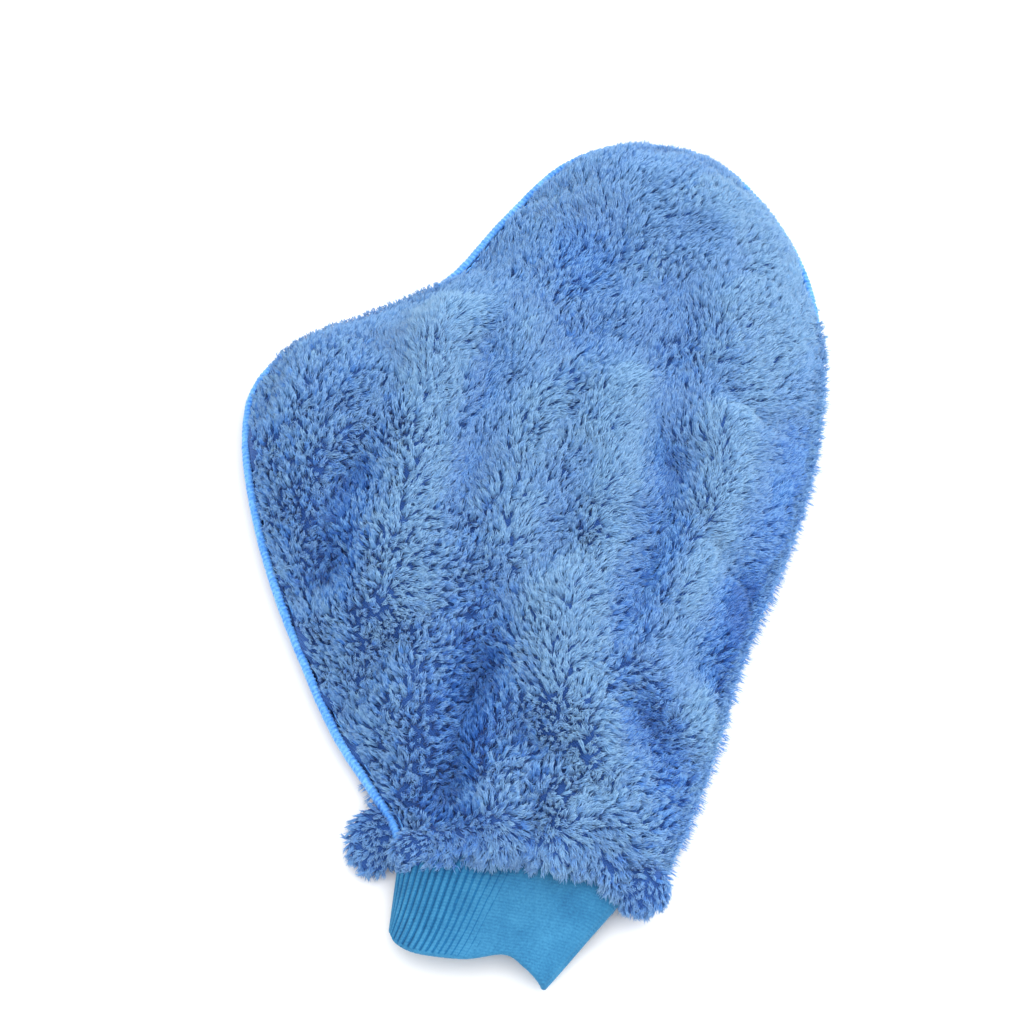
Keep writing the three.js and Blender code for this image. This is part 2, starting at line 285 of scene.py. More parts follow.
def ridges(xy):
    """The soft ridges and hollows of the slack cloth, as heights like those of FOLDS."""
    relief = 0.25 * FOLD_NOISE(xy) + 0.25 * FINE_NOISE(xy)
    for height, width, points in FOLDS:
        relief = relief + height * np.exp(-0.5 * (stroke_distance(xy, points) / (width * MM)) ** 2)
    return relief


def back_height(xy, across):
    """Height of the back panel's outer face: a dome with folds and gathers on it."""
    inside, _ = from_edge(xy)
    up_y = xy[..., 1] - MOUTH_Y
    rise = KNIT[1].z - KNIT[0].z - 1.0 * MM
    taper = mix(1.0, 0.82, smooth(130 * MM, 250 * MM, up_y))
    edge_width, shoulder_width = 3.2 * MM, 36 * MM
    q = np.clip((inside - edge_width) / shoulder_width, 0, 1)
    dome = rise * taper * (1 - (1 - q) ** 2.6)
    free = smooth(2 * MM, 20 * MM, inside)
    relief = FOLD_DEPTH * ridges(xy) * free + 0.6 * pleats(xy, across) * smooth(0, 12 * MM, inside)
    shallow_over_cuff = mix(-0.6, -20.0, smooth(8 * MM, 26 * MM, up_y))
    relief = np.maximum(relief, shallow_over_cuff)
    low = KNIT[0].z + 0.9 * MM
    return np.maximum(low + dome - 1.6 * MM * free + relief * MM, low + 0.3 * dome)


def grid_faces(rows, cols):
    r, c = np.meshgrid(np.arange(rows), np.arange(cols), indexing="ij")
    a = (r * (cols + 1) + c).ravel()
    return np.stack([a, a + 1, a + cols + 2, a + cols + 1], 1)


def grid_walls(rows, cols, count):
    """The faces that close a grid of points against a copy of it whose numbers are count higher."""
    width = cols + 1
    right = np.arange(1, rows + 1) * width + cols
    back = rows * width + np.arange(cols)[::-1]
    left = np.arange(1, rows)[::-1] * width
    rim = np.concatenate([np.arange(width), right, back, left])
    following = np.roll(rim, -1)
    return np.stack([rim, rim + count, following + count, following], 1)


def ring_faces(rings, sides):
    """The faces between rings of points, each joined to the ring after it."""
    i, j = np.meshgrid(np.arange(rings - 1), np.arange(sides), indexing="ij")
    i, j = i.ravel() * sides, j.ravel()
    beside = (j + 1) % sides
    return np.stack([i + j, i + beside, i + sides + beside, i + sides + j], 1)


def end_faces(rings, sides):
    """The two faces that close the first ring and the last."""
    return np.stack([np.arange(sides)[::-1], (rings - 1) * sides + np.arange(sides)])


def halves(quads):
    return np.concatenate([quads[:, [0, 1, 2]], quads[:, [0, 2, 3]]])


def corners_and_cross(points, tris):
    """Each triangle's three corners, and the normal that is twice as long as its area."""
    a, b, c = (points[tris[:, i]] for i in range(3))
    return a, b, c, np.cross(b - a, c - a)


def vertex_normals(points, tris):
    n = corners_and_cross(points, tris)[3]
    out = np.zeros_like(points)
    for i in range(3):
        np.add.at(out, tris[:, i], n)
    return unit(out)


# ---- meshes and materials


def poly_mesh(name, verts, groups, materials, index=None, smooth_faces=True):
    """An object from arrays: each group holds faces, one row of vertex numbers per face."""
    mesh = bpy.data.meshes.new(name)
    verts = np.asarray(verts, float).reshape(-1, 3)
    mesh.vertices.add(len(verts))
    mesh.vertices.foreach_set("co", verts.reshape(-1).astype(np.float32))
    loops = np.concatenate([g.reshape(-1) for g in groups])
    size = np.concatenate([np.full(len(g), g.shape[1]) for g in groups])
    mesh.loops.add(len(loops))
    mesh.loops.foreach_set("vertex_index", loops.astype(np.int32))
    mesh.polygons.add(len(size))
    starts = np.concatenate([[0], np.cumsum(size)[:-1]])
    mesh.polygons.foreach_set("loop_start", starts.astype(np.int32))
    mesh.polygons.foreach_set("loop_total", size.astype(np.int32))
    for mat in materials:
        mesh.materials.append(mat)
    if index is not None:
        mesh.polygons.foreach_set("material_index", index.astype(np.int32))
    mesh.polygons.foreach_set("use_smooth", np.full(len(size), smooth_faces))
    mesh.update(calc_edges=True)
    obj = bpy.data.objects.new(name, mesh)
    bpy.context.scene.collection.objects.link(obj)
    return obj


def belongs(piece, node):
    """The piece rides with the mitt and stands for one CAD node, which it hides."""
    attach(piece, "root")
    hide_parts(node)
    return piece


def new_material(name, base, roughness, sheen=0.0, sheen_tint=(1, 1, 1, 1), specular=0.3):
    mat = bpy.data.materials.new(name)
    mat.use_nodes = True
    p = mat.node_tree.nodes["Principled BSDF"]
    p.inputs["Base Color"].default_value = base
    p.inputs["Roughness"].default_value = roughness
    p.inputs["Specular IOR Level"].default_value = specular
    p.inputs["Sheen Weight"].default_value = sheen
    p.inputs["Sheen Roughness"].default_value = 0.45
    p.inputs["Sheen Tint"].default_value = sheen_tint
    return mat, p


class Nodes:
    """Short hand for wiring a procedural material."""

    def __init__(self, mat):
        self.tree = mat.node_tree
        self.p = mat.node_tree.nodes["Principled BSDF"]

    def add(self, kind, **values):
        node = self.tree.nodes.new(kind)
        for key, value in values.items():
            if key.startswith("in_"):
                node.inputs[key[3:].replace("_", " ")].default_value = value
            else:
                setattr(node, key, value)
        return node

    def join(self, source, target):
        self.tree.links.new(source, target)

    def place(self):
        """Object coordinates, and their parts along each axis."""
        at = self.add("ShaderNodeTexCoord").outputs["Object"]
        split = self.add("ShaderNodeSeparateXYZ")
        self.join(at, split.inputs["Vector"])
        return at, split.outputs["X"], split.outputs["Y"]

    def noise(self, at, scale, detail=3.0, rough=0.6):
        node = self.add("ShaderNodeTexNoise", in_Scale=scale, in_Detail=detail, in_Roughness=rough)
        self.join(at, node.inputs["Vector"])
        return node.outputs["Fac"]

    def ramp(self, value, stops):
        node = self.add("ShaderNodeValToRGB")
        node.color_ramp.elements[0].position, node.color_ramp.elements[0].color = stops[0]
        node.color_ramp.elements[1].position, node.color_ramp.elements[1].color = stops[-1]
        for place, shade in stops[1:-1]:
            node.color_ramp.elements.new(place).color = shade
        self.join(value, node.inputs["Fac"])
        return node.outputs["Color"]

    def maths(self, kind, a, b):
        node = self.add("ShaderNodeMath", operation=kind)
        for socket, value in zip(node.inputs, (a, b)):
            if isinstance(value, (int, float)):
                socket.default_value = value
            else:
                self.join(value, socket)
        return node.outputs["Value"]

    def bump(self, height, distance, strength=1.0):
        node = self.add("ShaderNodeBump", in_Distance=distance, in_Strength=strength)
        self.join(height, node.inputs["Height"])
        self.join(node.outputs["Normal"], self.p.inputs["Normal"])


def knit_material(name, dark, light, pitch, sheen):
    """A plain knit: rows of small loops, a mottled dye and a bump from both."""
    mat, p = new_material(name, light, 0.75, sheen, colour(180, 210, 255), 0.25)
    n = Nodes(mat)
    at, x, y = n.place()
    wale = n.maths("SINE", n.maths("MULTIPLY", x, TAU / pitch), 0.0)
    course = n.maths("SINE", n.maths("MULTIPLY", y, TAU / (pitch * 0.8)), 0.0)
    loops = n.maths("MULTIPLY", wale, course)
    cloud = n.noise(at, 260.0)
    height = n.maths("ADD", n.maths("MULTIPLY", loops, 0.5), cloud)
    n.join(n.ramp(height, [(0.1, dark), (0.9, light)]), p.inputs["Base Color"])
    n.join(n.maths("ADD", n.maths("MULTIPLY", cloud, 0.25), 0.62), p.inputs["Roughness"])
    n.bump(height, 0.3 * MM, 0.8)
    return mat


def thread_material(name, dark, light, sheen):
    """Soft looper thread: fine twisted filaments that catch the light, and a slight streak of dye."""
    mat, p = new_material(name, light, 0.5, sheen, colour(200, 224, 255), 0.35)
    n = Nodes(mat)
    at = n.add("ShaderNodeTexCoord").outputs["Object"]
    streak = n.noise(at, 900.0, 2.0)
    cloud = n.noise(at, 120.0, 2.0)
    value = n.maths("ADD", n.maths("MULTIPLY", streak, 0.6), n.maths("MULTIPLY", cloud, 0.4))
    n.join(n.ramp(value, [(0.34, dark), (0.62, light)]), p.inputs["Base Color"])
    n.join(n.maths("ADD", n.maths("MULTIPLY", streak, 0.3), 0.38), p.inputs["Roughness"])
    n.bump(streak, 0.12 * MM, 0.7)
    return mat


COURSE_PITCH = 0.95 * MM


def rib_material(name, dark, mid, light):
    """Rib knit: fine courses of loops across each rib, a mottled dye, and a felted face."""
    mat, p = new_material(name, mid, 0.72, 0.25, colour(150, 215, 240), 0.25)
    n = Nodes(mat)
    at, _, y = n.place()
    wander = n.maths("MULTIPLY", n.noise(at, 160.0, 2.0), 9.0)
    rows = n.maths("MULTIPLY", y, TAU / COURSE_PITCH)
    course = n.maths("SINE", n.maths("ADD", rows, wander), 0.0)
    fine = n.noise(at, 1500.0, 3.0)
    cloud = n.noise(at, 70.0, 3.0)
    height = n.maths("ADD", n.maths("MULTIPLY", course, 0.07), fine)
    tone = n.maths("ADD", n.maths("MULTIPLY", height, 0.45), n.maths("MULTIPLY", cloud, 0.55))
    n.join(n.ramp(tone, [(0.28, dark), (0.48, mid), (0.72, light)]), p.inputs["Base Color"])
    n.join(n.maths("ADD", n.maths("MULTIPLY", fine, 0.25), 0.6), p.inputs["Roughness"])
    n.bump(height, 0.16 * MM, 0.8)
    return mat


# Fibre colours in six tones from dark to light, and in each tone three steps from the root of a tuft to its
# tip: painted shade at the root, painted light at the tip.
FIBRE_TONES_AND_PAINTED_SHADE_STEPS = [
    (colour(31, 80, 161), colour(51, 108, 191), colour(78, 134, 209)),
    (colour(46, 101, 184), colour(72, 130, 209), colour(101, 157, 222)),
    (colour(59, 117, 198), colour(88, 146, 218), colour(116, 170, 229)),
    (colour(80, 135, 203), colour(104, 156, 217), colour(128, 175, 226)),
    (colour(98, 150, 208), colour(115, 166, 219), colour(132, 178, 226)),
    (colour(114, 164, 214), colour(128, 176, 221), colour(142, 187, 227)),
]


def fibre_materials():
    mats = []
    for tone, steps in enumerate(FIBRE_TONES_AND_PAINTED_SHADE_STEPS):
        for step, base in enumerate(steps):
            name = f"pile_fibre_{tone}_{step}"
            mats.append(new_material(name, base, 0.6, 0.3, colour(200, 222, 255), 0.22)[0])
    return mats


FIBRES = fibre_materials()
# The ground knit's blue, darkened to paint the shade deep in the pile between the tufts.
GROUND_KNIT_WITH_PAINTED_SHADE = knit_material("ground_knit", colour(34, 72, 136), colour(54, 98, 168), 1.1 * MM, 0.1)
EDGING = thread_material("edge_thread", colour(62, 140, 230), colour(122, 192, 252), 0.3)
STITCH = thread_material("sewing_thread", colour(60, 140, 228), colour(116, 188, 250), 0.3)
RIB = rib_material("rib_knit", colour(24, 90, 136), colour(42, 115, 160), colour(64, 140, 183))
# Darker copies of the rib knit, painted shade: one for the flanks of the deep ribs, a darker one for their
# grooves.
RIB_PAINTED_SHADE = rib_material("rib_knit_painted_shade", colour(5, 72, 120), colour(14, 94, 144), colour(28, 116, 166))
RIB_GROOVE_PAINTED_SHADE = rib_material("rib_knit_groove_painted_shade", colour(2, 60, 104), colour(5, 78, 124), colour(12, 94, 142))


# ---- the pile

# A fibre is three rings of three points and a tip: how far along it each stands, and each ring's width.
RING_T = np.array([0.0, 0.36, 0.72, 1.0])
RING_R = np.array([1.0, 1.05, 0.82])
FIBRE_SIDES = ring_faces(3, 3)
FIBRE_ENDS = np.array([[6, 7, 9], [7, 8, 9], [8, 6, 9], [2, 1, 0]])
FIBRE_POINTS = 10
# Which of its tone's three colours each face takes: the root's painted shade, the middle's, or the tip's
# painted light.
SIDE_SHADES = np.array([0, 0, 0, 1, 1, 1])
END_SHADES = np.array([2, 2, 2, 0])
FIBRE_RADIUS = 0.17 * MM
TUFT_SPREAD = 0.80 * MM
LOWEST_FIBRE = 0.35 * MM


def grow(name, tufts, rng, per_tuft):
    """Tufts of tapered fibres as one mesh: each fibre is a closed, bent, three-sided spike.

    tufts holds one row per tuft: root, normal, nap (which way it lies along the cloth), length, lean (how far
    it lies over at its root and its tip, in radians), gather (how far its fibres meet at the tip) and tone.
    """
    count = len(tufts["root"]) * per_tuft
    pick = np.repeat(np.arange(len(tufts["root"])), per_tuft)
    up = tufts["normal"][pick]
    nap = tufts["nap"][pick]
    along = unit(nap - (nap * up).sum(1, keepdims=True) * up)
    side = np.cross(up, along)
    turn = rng.uniform(0, TAU, count)
    reach = TUFT_SPREAD * np.sqrt(rng.uniform(0.02, 1, count))
    off = (along * np.cos(turn)[:, None] + side * np.sin(turn)[:, None]) * reach[:, None]
    tall = tufts["length"][pick] * rng.uniform(0.78, 1.08, count)
    lean = tufts["lean"][pick] + rng.normal(0, 1, (count, 2)) * np.array([0.07, 0.13])
    swing = rng.normal(0, 0.16, count)
    gather = tufts["gather"][pick][:, None]
    head = along * np.cos(swing)[:, None] + side * np.sin(swing)[:, None]
    centre = np.empty((count, 4, 3))
    here = tufts["root"][pick]
    centre[:, 0] = here + off
    for i in range(1, 4):
        part = RING_T[i] - RING_T[i - 1]
        tilt = mix(lean[:, 0], lean[:, 1], (RING_T[i] + RING_T[i - 1]) / 2)[:, None]
        here = here + (up * np.cos(tilt) + head * np.sin(tilt)) * (tall * part)[:, None]
        centre[:, i] = here + off * (1 - gather * RING_T[i] ** 1.3)
    curl = side * rng.normal(0, 0.30 * MM, (count, 1))
    centre[:, 1] += curl
    centre[:, 2] -= curl
    floor_gap = LOWEST_FIBRE + rng.uniform(0, 0.5 * MM, (count, 1))
    centre[..., 2] = np.maximum(centre[..., 2], floor_gap)
    way = unit(np.gradient(centre, axis=1))
    u = unit(np.cross(way, up[:, None, :] + 0.01))
    v = np.cross(way, u)
    thick = FIBRE_RADIUS * rng.uniform(0.8, 1.2, count)
    verts = np.empty((count, FIBRE_POINTS, 3))
    for i in range(3):
        for j in range(3):
            a = TAU * j / 3 + 0.5
            r = (thick * RING_R[i])[:, None]
            verts[:, i * 3 + j] = centre[:, i] + r * (math.cos(a) * u[:, i] + math.sin(a) * v[:, i])
    verts[:, 9] = centre[:, 3]
    base = FIBRE_POINTS * np.arange(count)[:, None, None]
    groups = [(FIBRE_SIDES[None] + base).reshape(-1, 4), (FIBRE_ENDS[None] + base).reshape(-1, 3)]
    # Each face takes its tuft's tone and a step in it: painted shade at the root, painted light at the tip.
    tone = 3 * tufts["tone"][pick][:, None]
    index = np.concatenate([(tone + SIDE_SHADES).ravel(), (tone + END_SHADES).ravel()])
    return poly_mesh(name, verts, groups, FIBRES, index)


def scatter(points, tris, spacing, rng, weight=None):
    """Even random places over triangles, about spacing apart: which triangle, and where in it."""
    a, b, c, cross = corners_and_cross(points, tris)
    area = np.linalg.norm(cross, axis=1) / 2
    tries_per_cell = 3.4
    tries = int(area.sum() / spacing**2 * tries_per_cell)
    if weight is not None:
        area = area * weight
    pick = rng.choice(len(tris), tries, p=area / area.sum())
    s, t = rng.uniform(0, 1, (2, tries))
    over = s + t > 1
    s[over] = 1 - s[over]
    t[over] = 1 - t[over]
    bary = np.stack([1 - s - t, s, t], 1)
    place = a[pick] * bary[:, :1] + b[pick] * bary[:, 1:2] + c[pick] * bary[:, 2:]
    cell = spacing * 0.86
    steps = [(x, y, z) for x in (-1, 0, 1) for y in (-1, 0, 1) for z in (-1, 0, 1)]
    held = {}
    keep = []
    for i, (key, p) in enumerate(zip(np.floor(place / cell).astype(int).tolist(), place.tolist())):
        near = (q for s in steps for q in held.get((key[0] + s[0], key[1] + s[1], key[2] + s[2]), ()))
        if all((q[0] - p[0]) ** 2 + (q[1] - p[1]) ** 2 + (q[2] - p[2]) ** 2 >= cell * cell for q in near):
            held.setdefault(tuple(key), []).append(p)
            keep.append(i)
    return pick[keep], bary[keep], place[keep]


NAP_SWIRL = Waves(52 * MM, 11)
NAP_FINE = Waves(14 * MM, 12)
LIE = Waves(34 * MM, 13)
LIE_FINE = Waves(11 * MM, 14)
TONE = Waves(30 * MM, 15)
MOST_FIBRES = 12200
# Tuft spacing in mm, and fibres in a tuft.
BACK_SPACING, BACK_FIBRES = 1.43, 11
FRINGE_SPACING, FRINGE_FIBRES = 1.25, 7
PALM_SPACING, PALM_FIBRES = 1.9, 7
LUMP_SPACING, LUMP_FIBRES = 1.6, 9


def plant(prefix, node, tufts, rng, per_tuft):
    """Grow the tufts in bands from the mouth to the tip, as pieces that stand for one CAD pile."""
    order = np.argsort(tufts["root"][:, 1])
    bands = max(1, math.ceil(len(order) * per_tuft / MOST_FIBRES))
    for i, part in enumerate(np.array_split(order, bands)):
        some = {key: value[part] for key, value in tufts.items()}
        belongs(grow(f"{prefix}_{i + 1:02d}", some, rng, per_tuft), node)


def tones(xy, rng, painted_light_and_tone_lift=0.0, scatter_by=0.45):
    """Which tone each tuft takes: the middle one, moved by soft random patches, by the lift, which paints
    light and shade, and by a scatter.
    """
    level = 3.0 + 0.12 * TONE(xy) + painted_light_and_tone_lift + rng.normal(0, 1, len(xy)) * scatter_by
    return np.clip(np.round(level), 0, len(FIBRE_TONES_AND_PAINTED_SHADE_STEPS) - 1).astype(int)


def wildness(xy):
    """How curly the pile is, from 0, combed smooth at the upper right, to 1 by the thumb and the mouth."""
    x, y = (xy - ORIGIN).T / MM
    return np.clip(smooth(150, 30, y + 0.9 * x) * 0.8 + 0.2 * TONE(xy) + 0.1, 0, 1)


def spacing_for(dense):
    return (dense) * MM


def flat_direction(v):
    return np.concatenate([v, np.zeros((len(v), 1))], 1)


def surface_normals(points, tris, pick, bary):
    """The smooth normal at each scattered place."""
    normals = vertex_normals(points, tris)
    corner = tris[pick]
    return unit(sum(normals[corner[:, i]] * bary[:, i : i + 1] for i in range(3)))


def back_nap(xy, share, wild, hang, rng):
    """Which way the back pile lies: up to the right, curly where wild, and down over the mouth."""
    count = len(xy)
    angle = math.radians(52) + 0.40 * NAP_SWIRL(xy) + mix(0.20, 0.50, wild) * NAP_FINE(xy)
    angle = angle + rng.normal(0, 1, count) * mix(0.18, 0.65, wild)
    splay = 0.25 * np.sin(TAU * PLEATS * share + PLEAT_PHASE) + 0.3 * rng.normal(0, 1, count)
    angle = mix(angle, splay - math.pi / 2, hang)
    return np.stack([np.cos(angle), np.sin(angle)], 1)


def back_lean(xy, wild, hang, over, calm, rng):
    """How far the back pile lies over at root and tip: more where combed, at the mouth and at the rim."""
    lie = 0.5 + 0.5 * np.clip(0.5 * LIE(xy) + 0.5 * LIE_FINE(xy), -1, 1)
    low, high = mix(0.50, 0.20, wild), mix(0.68, 0.52, wild)
    uneven = rng.normal(0, 1, (len(xy), 1)) * mix(0.09, 0.24, wild)[:, None]
    lean = np.stack([mix(low, high, lie), mix(low + 0.45, high + 0.50, lie)], 1) + uneven
    lean = lean + 0.35 * hang[:, None]
    lean = lean + over[:, None] * np.array([0.25, 0.35])
    return lean + calm[:, None] * np.array([0.12, 0.25])


def back_tufts(points, quads, across, rng):
    """Tufts all over the back panel, turned outward at its rim and hanging over its mouth."""
    tris = halves(quads)
    pick, bary, root = scatter(points, tris, spacing_for(BACK_SPACING), rng)
    normal = surface_normals(points, tris, pick, bary)
    share = sum(across[tris[pick][:, i]] * bary[:, i] for i in range(3))
    xy = root[:, :2]
    inside, near = from_edge(xy)
    bare = BARE[near]
    up_y = xy[:, 1] - MOUTH_Y
    far_side = smooth(-0.1, 0.5, OUTWARD[near][:, 1])
    keep = (inside > mix(1.3, 3.8 + 1.3 * far_side, bare) * MM) | (up_y < 4 * MM)
    keep &= normal[:, 2] > -0.75
    keep &= rng.uniform(0, 1, len(xy)) > 0.05 * wildness(xy)
    root, normal, share, xy, inside, near, bare, up_y, far_side = (
        v[keep] for v in (root, normal, share, xy, inside, near, bare, up_y, far_side)
    )
    outward = OUTWARD[near]
    wild = wildness(xy)
    hang = 1 - smooth(2 * MM, 20 * MM, up_y)
    drooped = 0.7 * (hang * (up_y > -1 * MM))[:, None]
    normal = unit(mix(normal, np.array([0.0, -0.55, 0.83]), drooped))
    nap = back_nap(xy, share, wild, hang, rng)
    rim = 1 - smooth(1 * MM, 9 * MM, inside)
    rim_nap = mix(outward, 0.7 * nap - 0.15 * outward, bare[:, None])
    nap = unit(mix(nap, rim_nap, 0.9 * rim[:, None]))
    over, calm = rim * (1 - bare), rim * bare
    lean = back_lean(xy, wild, hang, over, calm, rng)
    length = mix(4.5, 5.7, rng.uniform(0, 1, len(xy))) * MM
    length = length * (1 - (0.35 + 0.2 * far_side) * calm) * (1 - 0.18 * over)
    gather = mix(0.24, 0.68, wild) + rng.normal(0, 0.06, len(xy))
    # Painted light on the ridges and painted shade in the hollows, and lighter tones where the pile is combed
    # smooth at the lit upper right.
    painted_light_and_tone_lift = 0.75 * ridges(xy) + mix(0.55, 0.4, wild)
    return {
        "root": root - normal * 0.4 * MM, "normal": normal, "nap": flat_direction(nap), "length": length,
        "lean": lean, "gather": gather, "tone": tones(xy, rng, painted_light_and_tone_lift, mix(0.2, 0.9, wild)),
    }


def fringe_tufts(rng):
    """Short pile caught in the edging, which hides it wherever the edge isn't bare."""
    rows = []
    for inset in (0.9 * MM, 2.0 * MM, 3.0 * MM, 4.0 * MM):
        length = along_edge(inset, np.zeros(1))[3]
        at = np.arange(0, length, spacing_for(FRINGE_SPACING))
        at = at + rng.uniform(-0.4, 0.4, len(at)) * MM
        place, _, out, _ = along_edge(inset, np.clip(at, 0, length))
        rows.append(np.concatenate([place, out], 1))
    rows = np.concatenate(rows)
    xy, outward = rows[:, :2], rows[:, 2:]
    _, near = from_edge(xy)
    keep = (BARE[near] < rng.uniform(0.05, 0.45, len(near))) & (xy[:, 1] - MOUTH_Y > 2 * MM)
    thin = 1 - 1.3 * BARE[near][keep]
    xy, outward = xy[keep], outward[keep]
    count = len(xy)
    nap = unit(outward + np.array([0.25, 0.3]) + rng.normal(0, 0.3, (count, 2)))
    far_side = smooth(0.2, 0.6, outward[:, 1]) * (outward[:, 0] < 0.2)
    lean = np.stack([rng.uniform(0.1, 0.7, count) + 0.3 * far_side, rng.uniform(0.9, 1.4, count)], 1)
    height = np.full((count, 1), EDGE[1].z - 0.6 * MM)
    length = rng.uniform(3.2, 4.4, count) * MM * (1 - 0.45 * far_side) * thin
    # The fringe takes lighter tones, with painted light on the ridges and painted shade in the hollows.
    return {
        "root": np.concatenate([xy, height], 1), "normal": np.tile([0.0, 0.0, 1.0], (count, 1)),
        "nap": flat_direction(nap), "length": length, "lean": lean, "gather": np.full(count, 0.6),
        "tone": tones(xy, rng, 1.0 + 0.3 * ridges(xy)),
    }


def palm_tufts(points, quads, rng):
    """Tufts under the palm panel, dense near its edge and thin in the middle, where it lies on them."""
    tris = halves(quads)
    middle = points[tris].mean(1)
    inside, _ = from_edge(middle[:, :2])
    weight = mix(1.0, 0.35, smooth(10 * MM, 22 * MM, inside))
    root = scatter(points, tris, spacing_for(PALM_SPACING), rng, weight)[2]
    xy = root[:, :2]
    inside, near = from_edge(xy)
    bare = BARE[near] * smooth(14 * MM, 44 * MM, UP_Y[near])
    keep = inside > mix(1.6, 3.4, bare) * MM
    root, xy, inside, near, bare = (v[keep] for v in (root, xy, inside, near, bare))
    outward = OUTWARD[near]
    mouth = (1 - smooth(3 * MM, 14 * MM, xy[:, 1] - MOUTH_Y))[:, None]
    rim = (1 - smooth(2 * MM, 16 * MM, inside))[:, None]
    angle = math.radians(60) + 0.8 * NAP_SWIRL(xy)
    nap = unit(mix(np.stack([np.cos(angle), np.sin(angle)], 1), outward * (1 - 1.6 * bare[:, None]), rim))
    nap = unit(mix(nap, np.array([0.0, -1.0]), mouth))
    edge = np.maximum(rim * (1 - bare[:, None]), mouth)[:, 0]
    lean = np.stack([mix(0.25, 0.7, edge), mix(1.15, 1.35, edge)], 1) + rng.normal(0, 0.08, (len(xy), 1))
    length = mix(5.8, 6.8, rng.uniform(0, 1, len(xy))) * MM * (1 - 0.25 * (rim[:, 0] * bare))
    normal = np.tile([0.0, 0.0, -1.0], (len(xy), 1))
    # The palm pile, under the mitt, takes darker tones: painted shade.
    return {
        "root": root, "normal": normal, "nap": flat_direction(nap), "length": length, "lean": lean,
        "gather": np.full(len(xy), 0.6), "tone": tones(xy, rng, -0.4),
    }


def egg(centre, radii, rows=14, cols=24):
    """A closed rounded lump: its points, its quads and the fans of triangles that close its ends."""
    rise = np.linspace(-math.pi / 2, math.pi / 2, rows + 2)[1:-1]
    turn = np.linspace(0, TAU, cols, endpoint=False)
    x = np.outer(np.cos(rise), np.cos(turn))
    y = np.outer(np.cos(rise), np.sin(turn))
    z = np.outer(np.sin(rise), np.ones(cols))
    ring = np.stack([x, y, z], -1).reshape(-1, 3)
    points = np.vstack([ring, [[0, 0, -1], [0, 0, 1]]]) * np.array(radii) * MM
    points += np.array([ORIGIN[0] + centre[0] * MM, MOUTH_Y + centre[1] * MM, centre[2] * MM])
    at = np.arange(cols)
    beside = (at + 1) % cols
    low, high, last = rows * cols, rows * cols + 1, (rows - 1) * cols
    low_fan = np.stack([beside, at, np.full(cols, low)], 1)
    high_fan = np.stack([last + at, last + beside, np.full(cols, high)], 1)
    return points, ring_faces(rows, cols), np.concatenate([low_fan, high_fan])


def lobe_tufts(points, quads, fans, nap, rng):
    """Tufts all over one lump, lying the way of nap."""
    tris = np.concatenate([halves(quads), fans])
    pick, bary, root = scatter(points, tris, spacing_for(LUMP_SPACING), rng)
    normal = surface_normals(points, tris, pick, bary)
    count = len(root)
    lean = np.stack([rng.uniform(0.4, 0.9, count), rng.uniform(0.9, 1.4, count)], 1)
    return {
        "root": root - normal * 0.5 * MM, "normal": normal,
        "nap": np.tile(nap, (count, 1)) + rng.normal(0, 0.45, (count, 3)),
        "length": rng.uniform(0.85, 1.1, count) * 4.3 * MM, "lean": lean,
        "gather": np.full(count, 0.65), "tone": tones(root[:, :2], rng, 0.1),
    }


# ---- cloth and the pouch


def relax(points, rows, cols, pinned, limit):
    """Let the back panel puff and wrinkle as cloth held at its seams, no point moving more than limit."""
    count = len(points)
    under = points.copy()
    under[:, 2] = PALM[1].z + 0.4 * MM
    quads = grid_faces(rows, cols)
    groups = [quads, quads[:, ::-1] + count, grid_walls(rows, cols, count)]
    pouch = poly_mesh("pouch_relaxing", np.vstack([points, under]), groups, [])
    group = pouch.vertex_groups.new(name="sewn")
    group.add([int(i) for i in np.flatnonzero(pinned)] + list(range(count, 2 * count)), 1.0, "REPLACE")
    cloth = pouch.modifiers.new("cloth", "CLOTH")
    knit = {
        "quality": 6, "mass": 0.25, "tension_stiffness": 12, "compression_stiffness": 12,
        "shear_stiffness": 4, "bending_stiffness": 0.35, "shrink_min": -0.035, "use_pressure": True,
        "uniform_pressure_force": 4, "vertex_group_mass": "sewn",
    }
    for key, value in knit.items():
        setattr(cloth.settings, key, value)
    cloth.settings.effector_weights.gravity = 0
    cloth.collision_settings.use_collision = False
    scene = bpy.context.scene
    steps = 20
    for step in range(1, steps + 1):
        scene.frame_set(step)
    done = pouch.evaluated_get(bpy.context.evaluated_depsgraph_get()).data
    moved = np.empty(len(done.vertices) * 3)
    done.vertices.foreach_get("co", moved)
    shift = moved.reshape(-1, 3)[:count] - points
    scene.frame_set(1)
    mesh = pouch.data
    bpy.data.objects.remove(pouch)
    bpy.data.meshes.remove(mesh)
    far = np.linalg.norm(shift, axis=1, keepdims=True)
    print("cloth moved", float(far.mean() / MM), "mm on average,", float(far.max() / MM), "mm at most")
    return points + shift * np.minimum(1, limit / np.maximum(far, 1e-9))


def sheet_mesh(name, points, rows, cols, thick, materials):
    """A thin closed sheet whose outer face is the grid of points."""
    quads = grid_faces(rows, cols)
    normals = vertex_normals(points, halves(quads))
    count = len(points)
    groups = [quads, quads[:, ::-1] + count, grid_walls(rows, cols, count)]
    return poly_mesh(name, np.vstack([points, points - normals * thick]), groups, materials)


